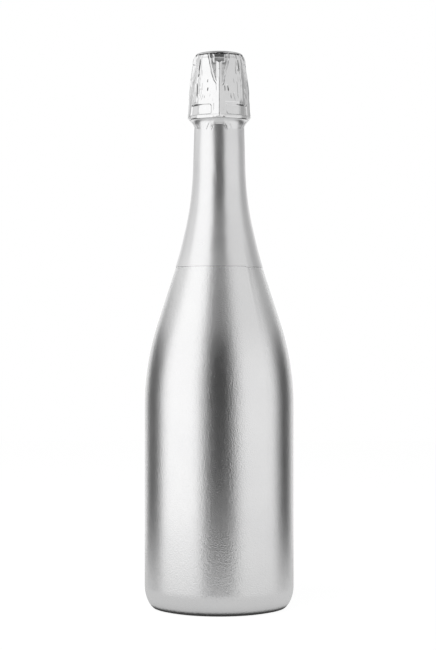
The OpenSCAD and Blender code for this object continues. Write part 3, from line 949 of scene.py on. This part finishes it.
# The belt's ends are twisted together, and an eye closes them at the top
def beltWire():
    spread = (cage["belt"] + cage["strandGap"]) / 2
    reach = mouth["collarRound"] + cage["gap"] + beltRadius
    line = cornerRadius + reach
    eyeLow = collarTop + 5
    eyeHeight = eyeLow + 1.3 * cage["eyeRadius"]

    # One end of the belt, from under the collar up to the eye
    def tail(side):
        points = [(beltRingRadius + 0.12, side * 2, beltHeight + 0.15)]
        for a in np.linspace(-72, 0, 8):
            x, z = onCircle((cornerRadius, cornerHeight), reach, a)
            points.append((x, side * (spread + 0.45 * a / -72), z))
        for t in np.linspace(0, 1, 25):
            a = 2 * math.pi * t
            x = line - spread * 0.2 + side * spread * math.sin(a)
            points.append((x, side * spread * math.cos(a), collarTop + (eyeLow - collarTop) * t))
        return points

    eye = [(line, y, z) for y, z in arcPoints((0.0, eyeHeight), cage["eyeRadius"], -40, 220, 32)]
    around = [(x, y, beltHeight) for x, y in arcPoints((0.0, 0.0), beltRingRadius, -12, -348, 120)]
    points = turned(tail(1) + eye + tail(-1)[::-1] + around, eyeTurn)
    piece = wireCurve("beltWire", points, beltRadius)
    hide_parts("belt_wire")
    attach(piece, "cage")


metalCap()
cageWire()
beltWire()
print("cap and wires made")


def corkMaterial(name, look):
    material, tree = newMaterial(name)
    place = addNode(tree, "ShaderNodeTexCoord").outputs["Object"]
    stretched = addNode(tree, "ShaderNodeMapping", {"Vector": place, "Scale": look["stretch"]}).outputs[0]
    warp = addNode(tree, "ShaderNodeTexNoise", {"Vector": stretched, "Scale": 900.0, "Detail": 2.0})
    bent = addNode(tree, "ShaderNodeVectorMath", {
        0: warp.outputs["Color"], 1: (0.6 * mm, 0.6 * mm, 0.6 * mm), 2: stretched},
        operation="MULTIPLY_ADD").outputs[0]
    cells = addNode(tree, "ShaderNodeTexVoronoi", {"Vector": bent, "Scale": look["grainScale"]})
    seams = addNode(tree, "ShaderNodeTexVoronoi", {"Vector": bent, "Scale": look["grainScale"]},
                    feature="DISTANCE_TO_EDGE")
    shade = addNode(tree, "ShaderNodeSeparateColor", {"Color": cells.outputs["Color"]}).outputs[0]
    grains = ramp(tree, shade, look["grains"])
    pores = noise(tree, stretched, look["poreScale"], 4.0, 0.6)
    pits = ramp(tree, pores, [(look["poreStart"], 0.0), (look["poreStart"] + 0.07, 1.0)])
    joints = ramp(tree, seams.outputs["Distance"], [(0.0, 1.0), (0.09, 0.0)])
    joined = blend(tree, joints, grains, (*look["joint"], 1))
    pitted = blend(tree, pits, joined, (*look["pore"], 1))
    dips = calculate(tree, "MAXIMUM", pits, joints)
    shader = addNode(tree, "ShaderNodeBsdfPrincipled", {
        "Base Color": pitted, "Roughness": look["roughness"],
        "Normal": relief(tree, dips, look["depth"], invert=True)})
    finish(tree, shader)
    return material


grainCorkLook = {
    "stretch": (1.0, 1.0, 1.0),
    "grainScale": 620.0,
    "grains": [(0.0, (0.40, 0.25, 0.13)), (0.3, (0.60, 0.42, 0.25)), (0.7, (0.72, 0.54, 0.35)),
               (1.0, (0.80, 0.64, 0.45))],
    "joint": (0.42, 0.27, 0.15),
    "poreScale": 1100.0,
    "poreStart": 0.62,
    "pore": (0.16, 0.09, 0.045),
    "depth": 0.16,
    "roughness": 0.82,
}
naturalCorkLook = {
    "stretch": (1.0, 1.0, 2.6),
    "grainScale": 260.0,
    "grains": [(0.0, (0.62, 0.43, 0.26)), (0.5, (0.70, 0.51, 0.32)), (1.0, (0.75, 0.57, 0.38))],
    "joint": (0.60, 0.42, 0.26),
    "poreScale": 420.0,
    "poreStart": 0.60,
    "pore": (0.22, 0.12, 0.06),
    "depth": 0.14,
    "roughness": 0.82,
}
grainCork = corkMaterial("grainCork", grainCorkLook)
naturalCork = corkMaterial("naturalCork", naturalCorkLook)


# A turned piece, through the points of its outline, given as radius and height
def turnedPiece(name, outline, step, columns, roughen=None):
    outline = np.array(outline, float)
    travel = np.concatenate([[0], np.cumsum(np.hypot(*np.diff(outline, axis=0).T))])
    path = np.arange(0, travel[-1] + step, step)[:, None]
    turns = columnsOf(columns)[None, :]
    radii = throughPoints(path, np.stack([travel, outline[:, 0]], -1))
    heights = throughPoints(path, np.stack([travel, outline[:, 1]], -1))
    if roughen:
        radii = radii + roughen(turns, heights) * smooth(radii, 1, 5)
    return roundSheet(name, turns, radii, heights)


# Worn skin of the cork's head, with the grooves that the legs press in
def corkDents(turns, heights):
    worn = 0.05 * wander(turns, heights, 40, 2.2, 61) + 0.03 * wander(turns, heights, 90, 1.1, 62)
    pressed = np.exp(-(fromLeg(turns) * 0.265 / 0.7) ** 2) * smooth(heights, 306, 309)
    return (worn - 0.03) * smooth(heights, 303.5, 305) - 0.16 * pressed - 0.02


def corkBarrel():
    lip = mouth["lip"]
    low = lip - mouth["corkInside"] + 2 * mouth["discThickness"]
    # The shank in the neck, out over the lip, up the head and over its rounded top edge
    outline = [(0.02, low), (shankRadius - 0.3, low), (shankRadius, low + 0.3), (shankRadius, lip - 6)]
    outline += [(shankRadius, lip + 0.1), (shankRadius + 0.5, lip + 0.45)]
    outline += [(12.6, lip + 0.5), (14.2, lip + 1.0), (14.9, lip + 2.36)] + headLine + [(12.85, capLow - 0.3)]
    outline += arcPoints((12.8 - 1.2, corkTop - 1.2), 1.2, 0, 90, 4) + [(0.02, corkTop)]
    piece = turnedPiece("corkBarrel", outline, 0.35, 300, corkDents)
    piece.data.materials.append(grainCork)
    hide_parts("cork_barrel")
    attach(piece, "cork")


def discGrain(turns, heights):
    return -0.02 - 0.02 * wander(turns, heights, 60, 1.5, 63)


# The lower disc is the one at the wine, with a more rounded edge
def corkDiscs():
    barrelLow = mouth["lip"] - mouth["corkInside"] + 2 * mouth["discThickness"]
    for name, number, rounding in (("cork_disc_upper", 1, 0.12), ("cork_disc_lower", 2, 0.5)):
        top = barrelLow - (number - 1) * mouth["discThickness"]
        bottom = top - mouth["discThickness"]
        outline = [(0.02, bottom + 0.01), (shankRadius - rounding, bottom + 0.01),
                   (shankRadius, bottom + rounding), (shankRadius, (top + bottom) / 2),
                   (shankRadius, top - 0.12), (shankRadius - 0.12, top - 0.01), (0.02, top - 0.01)]
        disc = turnedPiece("corkDisc%d" % number, outline, 0.3, 200, discGrain)
        disc.data.materials.append(naturalCork)
        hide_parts(name)
        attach(disc, "cork")


corkBarrel()
corkDiscs()
print("cork made")

glassLook = {
    "dark": (0.035, 0.085, 0.04),
    "light": (0.055, 0.12, 0.055),
    "roughness": 0.03,
    "bending": 1.52,
    "waveScale": 45.0,
    "waveDepth": 0.12,
}


def greenGlass():
    material, tree = newMaterial("greenGlass")
    place = addNode(tree, "ShaderNodeTexCoord").outputs["Object"]
    waves = noise(tree, place, glassLook["waveScale"], 1.0)
    colour = ramp(tree, waves, [(0.3, glassLook["dark"]), (0.7, glassLook["light"])])
    shader = addNode(tree, "ShaderNodeBsdfPrincipled", {
        "Base Color": colour, "Roughness": glassLook["roughness"], "IOR": glassLook["bending"],
        "Transmission Weight": 1.0, "Normal": relief(tree, waves, glassLook["waveDepth"])})
    finish(tree, shader)
    return material


bottleGlass = greenGlass()
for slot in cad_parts["glass_bottle"].material_slots:
    slot.material = bottleGlass
print("glass finished")

# Studio: camera, floor and world
camera = {
    "distance": 1.10,
    "height": 0.1668,
    "aside": -0.0007,
    "focalPixels": 1860.0,
}


def addCamera():
    data = bpy.data.cameras.new("photoCamera")
    data.sensor_width = 36.0
    data.lens = camera["focalPixels"] / photoHeight * data.sensor_width
    data.clip_start = 0.01
    eye = placed("photoCamera", data)
    eye.location = (camera["aside"], -camera["distance"], camera["height"])
    eye.rotation_euler = (math.radians(90), 0, 0)
    bpy.context.scene.camera = eye


# The metal mirrors a round light tent of pale paper with cards and black flags on it. Bearings are in
# degrees from the camera's side, to the right; heights and distances from the bottle are in metres
studio = {
    "radius": 0.38,
    "height": 1.1,
    "sky": [(0.5, 0.6), (0.62, 0.35), (0.8, 0.16), (1.0, 0.12)],
    "paper": 0.6,
    # Bearing from and to, height from and to, brightness
    "cards": [
        (144, 216, -0.1, 0.3, 0.9),
        (144, 216, 0.3, 1.2, 0.45),
        (-138, -98, -0.1, 0.25, 0.12),
        (-138, -98, 0.31, 0.7, 0.8),
        (-92, -27, -0.1, 0.7, 1.1),
        (-21, 22, -0.1, 0.4, 0.04),
        (-21, 22, 0.4, 0.52, 0.25),
        (-27, 27, 0.6, 1.2, 0.1),
        (27, 92, -0.1, 0.3, 0.85),
        (27, 92, 0.3, 0.7, 0.72),
        (98, 134, -0.1, 0.27, 0.08),
        (98, 134, 0.3, 0.7, 0.4),
    ],
    "edge": 5.0,  # degrees over which a card's side fades
    "fall": 0.03,  # metres over which its top and foot fade
    "levels": [0.02, 0.12, 0.22, 0.28, 0.33, 0.44, 0.56, 0.64, 0.8],  # heights of the wall's rings
    # Floor rings seen in the metal: a painted contact shadow at the bottle's foot, then a painted pool of
    # light
    "floor": [(0.0405, 0.05), (0.0425, 0.55), (0.05, 0.62), (0.17, 0.66)],  # distance and brightness
    "foot": 0.36,  # distance of the floor's last ring
    "footShare": 0.8,
    "footGlow": 0.1,
}


# Brightness of the tent's wall, with each card laid over those before it
def levelAt(bearing, height):
    level = studio["paper"]
    for start, end, low, high, brightness in studio["cards"]:
        inside = (end - start) / 2 - abs(between(bearing, (start + end) / 2))
        around = inside / studio["edge"] + 0.5
        along = min(height - low, high - height) / studio["fall"] + 0.5
        share = min(max(around, 0), 1) * min(max(along, 0), 1)
        level += (brightness - level) * share
    return level


# Each ramp of brightness has a stop on both sides of every card's edge
def bearingStops():
    borders = {between(side, 0) for card in studio["cards"] for side in card[:2]}
    half = studio["edge"] / 2
    return sorted({-180, 180} | {side + shift for side in borders for shift in (-half, half)})


bearings = bearingStops()
wallRings = [(z, [levelAt(b, z) for b in bearings]) for z in studio["levels"]]
# The floor's brightness, seen only in the metal, is painted light: it goes by distance, with a painted
# contact shadow close round the bottle, and at the tent's foot it takes part of the wall's as painted spill
paintedFloorRings = [(distance, [level] * len(bearings)) for distance, level in studio["floor"]]
footLevels = [levelAt(b, 0.0) * studio["footShare"] + studio["footGlow"] for b in bearings]
paintedFloorRings.append((studio["foot"], footLevels))


def ringRamp(tree, bearing, values):
    return ramp(tree, bearing, [(0.5 + a / 360, v) for a, v in zip(bearings, values)])


# Rings one above another, or one outside another, with a smooth change between them
def ringStack(tree, bearing, level, rings):
    shown = ringRamp(tree, bearing, rings[0][1])
    for (low, _), (high, values) in zip(rings, rings[1:]):
        share = addNode(tree, "ShaderNodeMapRange", {"Value": level, 1: low, 2: high}).outputs[0]
        shown = blend(tree, share, shown, ringRamp(tree, bearing, values))
    return shown


# Bearing of a place as a share of the full round, and its height
def bearingOf(tree, vector):
    parts = addNode(tree, "ShaderNodeSeparateXYZ", {"Vector": vector})
    away = calculate(tree, "MULTIPLY", parts.outputs["Y"], -1.0)
    angle = calculate(tree, "ARCTAN2", parts.outputs["X"], away)
    share = calculate(tree, "MULTIPLY_ADD", angle, 1 / (2 * math.pi), 0.5)
    return share, parts.outputs["Z"]


def addWorld():
    world = bpy.data.worlds.new("studio")
    world.use_nodes = True
    tree = world.node_tree
    tree.nodes.clear()
    direction = addNode(tree, "ShaderNodeTexCoord").outputs["Generated"]
    up = addNode(tree, "ShaderNodeSeparateXYZ", {"Vector": direction}).outputs["Z"]
    sky = ramp(tree, up, studio["sky"])
    seen = addNode(tree, "ShaderNodeLightPath").outputs["Is Camera Ray"]
    light = addNode(tree, "ShaderNodeBackground", {"Color": sky, "Strength": 1.0})
    white = addNode(tree, "ShaderNodeBackground", {"Color": (1, 1, 1, 1), "Strength": 1.0})
    both = blendShaders(tree, seen, light, white)
    addNode(tree, "ShaderNodeOutputWorld", {"Surface": both.outputs[0]})
    bpy.context.scene.world = world


def addTent():
    material, tree = newMaterial("lightTent")
    bearing, height = bearingOf(tree, addNode(tree, "ShaderNodeTexCoord").outputs["Object"])
    wall = ringStack(tree, bearing, height, wallRings)
    finish(tree, addNode(tree, "ShaderNodeEmission", {"Color": wall, "Strength": 1.0}))
    material.cycles.emission_sampling = "NONE"
    heights = np.array([[0.0], [studio["height"] / mm]])
    cloth = roundSheet("lightTent", columnsOf(96)[None, :], studio["radius"] / mm, heights)
    cloth.data.materials.append(material)
    cloth.visible_camera = False
    cloth.visible_diffuse = False
    cloth.visible_shadow = False
    cloth.visible_transmission = False


floorForm = {
    "radius": 1.6,
    "paper": 0.85,
    "white": 0.95,
    "shadowShare": 0.12,
}


def addFloor():
    material, tree = newMaterial("paleFloor")
    place = addNode(tree, "ShaderNodeTexCoord").outputs["Object"]
    bearing = bearingOf(tree, place)[0]
    distance = addNode(tree, "ShaderNodeVectorMath", {0: place}, operation="LENGTH").outputs["Value"]
    paintedFloorLight = ringStack(tree, bearing, distance, paintedFloorRings)
    rays = addNode(tree, "ShaderNodeLightPath")
    pale = floorForm["paper"]
    paper = addNode(tree, "ShaderNodeBsdfDiffuse", {"Color": (pale, pale, pale, 1)})
    trace = floorForm["shadowShare"]
    shade = addNode(tree, "ShaderNodeBsdfDiffuse", {"Color": (trace, trace, trace, 1)})
    white = addNode(tree, "ShaderNodeEmission", {"Color": (1, 1, 1, 1), "Strength": floorForm["white"]})
    shown = addNode(tree, "ShaderNodeAddShader", {0: shade.outputs[0], 1: white.outputs[0]})
    # Glossy and transmission rays see the painted contact shadow and pool of light
    mirrored = addNode(tree, "ShaderNodeEmission", {"Color": paintedFloorLight, "Strength": 1.0})
    glossy, through = rays.outputs["Is Glossy Ray"], rays.outputs["Is Transmission Ray"]
    unseen = blendShaders(tree, calculate(tree, "MAXIMUM", glossy, through), paper, mirrored)
    finish(tree, blendShaders(tree, rays.outputs["Is Camera Ray"], unseen, shown))
    material.cycles.emission_sampling = "NONE"
    radii = np.array([[floorForm["radius"] / mm], [1.0]])
    ground = roundSheet("paleFloor", columnsOf(96)[None, :], radii, 0.0)
    ground.data.materials.append(material)


# A soft overhead lamp for the matt pieces; the metal shows only the room
lamp = {
    "size": 1.2,
    "power": 9.0,
    "place": (-0.5, -0.7, 1.3),
    "tilt": 28.0,
    "swing": -35.0,
}


def addLamp():
    data = bpy.data.lights.new("softLamp", "AREA")
    data.shape = "DISK"
    data.size = lamp["size"]
    data.energy = lamp["power"]
    light = placed("softLamp", data)
    light.location = lamp["place"]
    light.rotation_euler = (math.radians(lamp["tilt"]), 0, math.radians(lamp["swing"]))
    light.visible_glossy = False


addCamera()
addWorld()
addTent()
addFloor()
addLamp()
bpy.context.scene.view_settings.view_transform = "Standard"
print("studio made")
